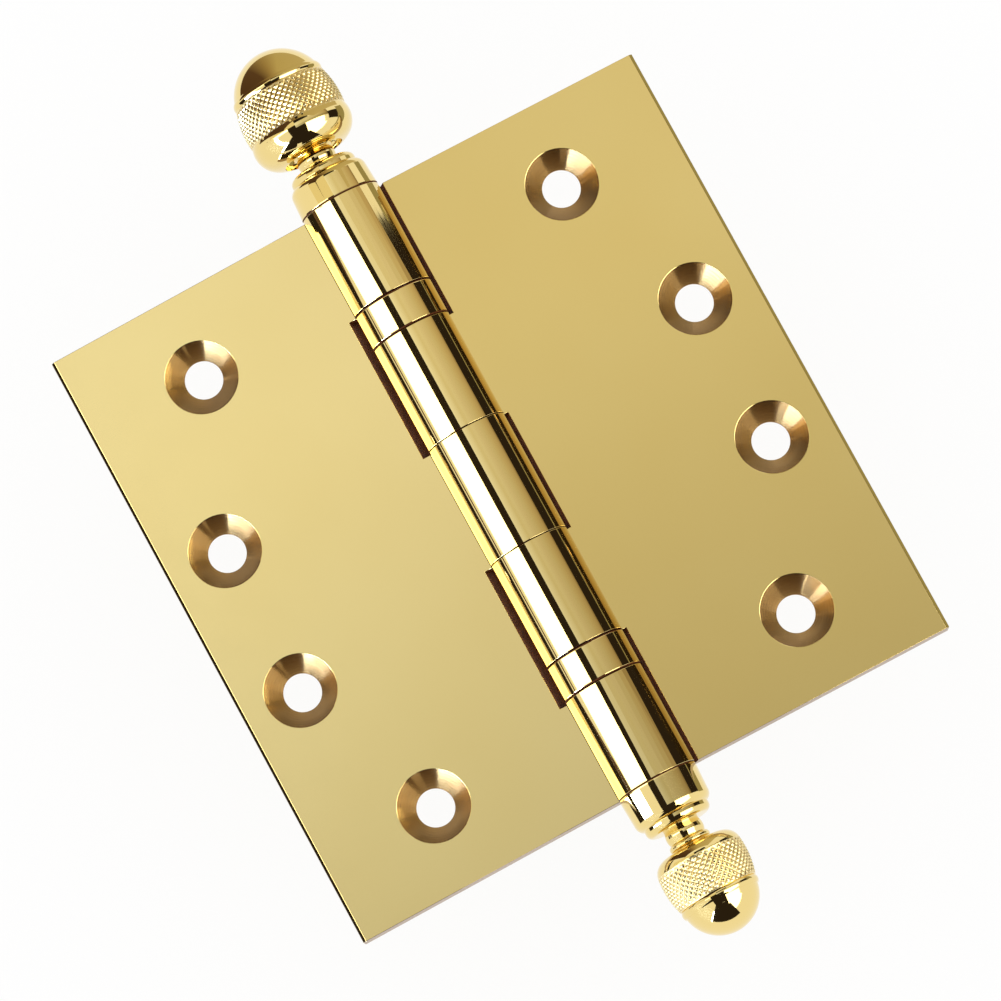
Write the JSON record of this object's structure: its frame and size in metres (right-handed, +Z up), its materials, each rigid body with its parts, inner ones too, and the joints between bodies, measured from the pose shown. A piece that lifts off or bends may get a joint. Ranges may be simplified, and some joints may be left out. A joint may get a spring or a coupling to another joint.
{
  "type": "ball bearing butt hinge",
  "caption": "Square polished brass butt hinge with countersunk zigzag screw holes, ball bearings between its knuckles and knurled acorn finials on its pin.",
  "frame": {"origin": "on the pin axis, at the middle of the barrel", "axes": "+Y along the pin towards the larger finial, +Z up out of the countersunk faces of the open hinge, which lies on its back, +X towards the leaf with two knuckles"},
  "size_m": [0.1014, 0.154, 0.0164],
  "materials": {
    "polished_brass": "polished and lacquered",
    "ground_steel": "ground",
    "bearing_steel": "hardened and polished",
    "cage_brass": "pressed, bare"
  },
  "bodies": {
    "frame_side": {"frame_leaf": "polished_brass", "hinge_pin": "ground_steel", "top_finial": "polished_brass", "bottom_finial": "polished_brass", "upper_bearing_shell": "polished_brass", "lower_bearing_shell": "polished_brass", "upper_fixed_race": "bearing_steel", "lower_fixed_race": "bearing_steel"},
    "door_side": {"door_leaf": "polished_brass", "upper_moving_race": "bearing_steel", "lower_moving_race": "bearing_steel"},
    "upper_ball_set": {"upper_ball_cage": "cage_brass", "upper_ball_1": "bearing_steel", "upper_ball_2": "bearing_steel", "upper_ball_3": "bearing_steel", "upper_ball_4": "bearing_steel", "upper_ball_5": "bearing_steel", "upper_ball_6": "bearing_steel", "upper_ball_7": "bearing_steel", "upper_ball_8": "bearing_steel", "upper_ball_9": "bearing_steel", "upper_ball_10": "bearing_steel"},
    "lower_ball_set": {"lower_ball_cage": "cage_brass", "lower_ball_1": "bearing_steel", "lower_ball_2": "bearing_steel", "lower_ball_3": "bearing_steel", "lower_ball_4": "bearing_steel", "lower_ball_5": "bearing_steel", "lower_ball_6": "bearing_steel", "lower_ball_7": "bearing_steel", "lower_ball_8": "bearing_steel", "lower_ball_9": "bearing_steel", "lower_ball_10": "bearing_steel"}
  },
  "joints": [
    {"name": "leaf_swing", "type": "hinge", "parent": "frame_side", "child": "door_side", "pos_m": [0, 0, 0], "axis": [0, -1, 0], "range_deg": [-100, 187]},
    {"name": "upper_balls_turn", "type": "hinge", "parent": "frame_side", "child": "upper_ball_set", "pos_m": [0, 0, 0], "axis": [0, -1, 0], "range_deg": [-50, 93.5]},
    {"name": "lower_balls_turn", "type": "hinge", "parent": "frame_side", "child": "lower_ball_set", "pos_m": [0, 0, 0], "axis": [0, -1, 0], "range_deg": [-50, 93.5]}
  ],
  "couplings": [
    {"joint": "upper_balls_turn", "follows": "leaf_swing", "ratio": 0.5},
    {"joint": "lower_balls_turn", "follows": "leaf_swing", "ratio": 0.5}
  ]
}
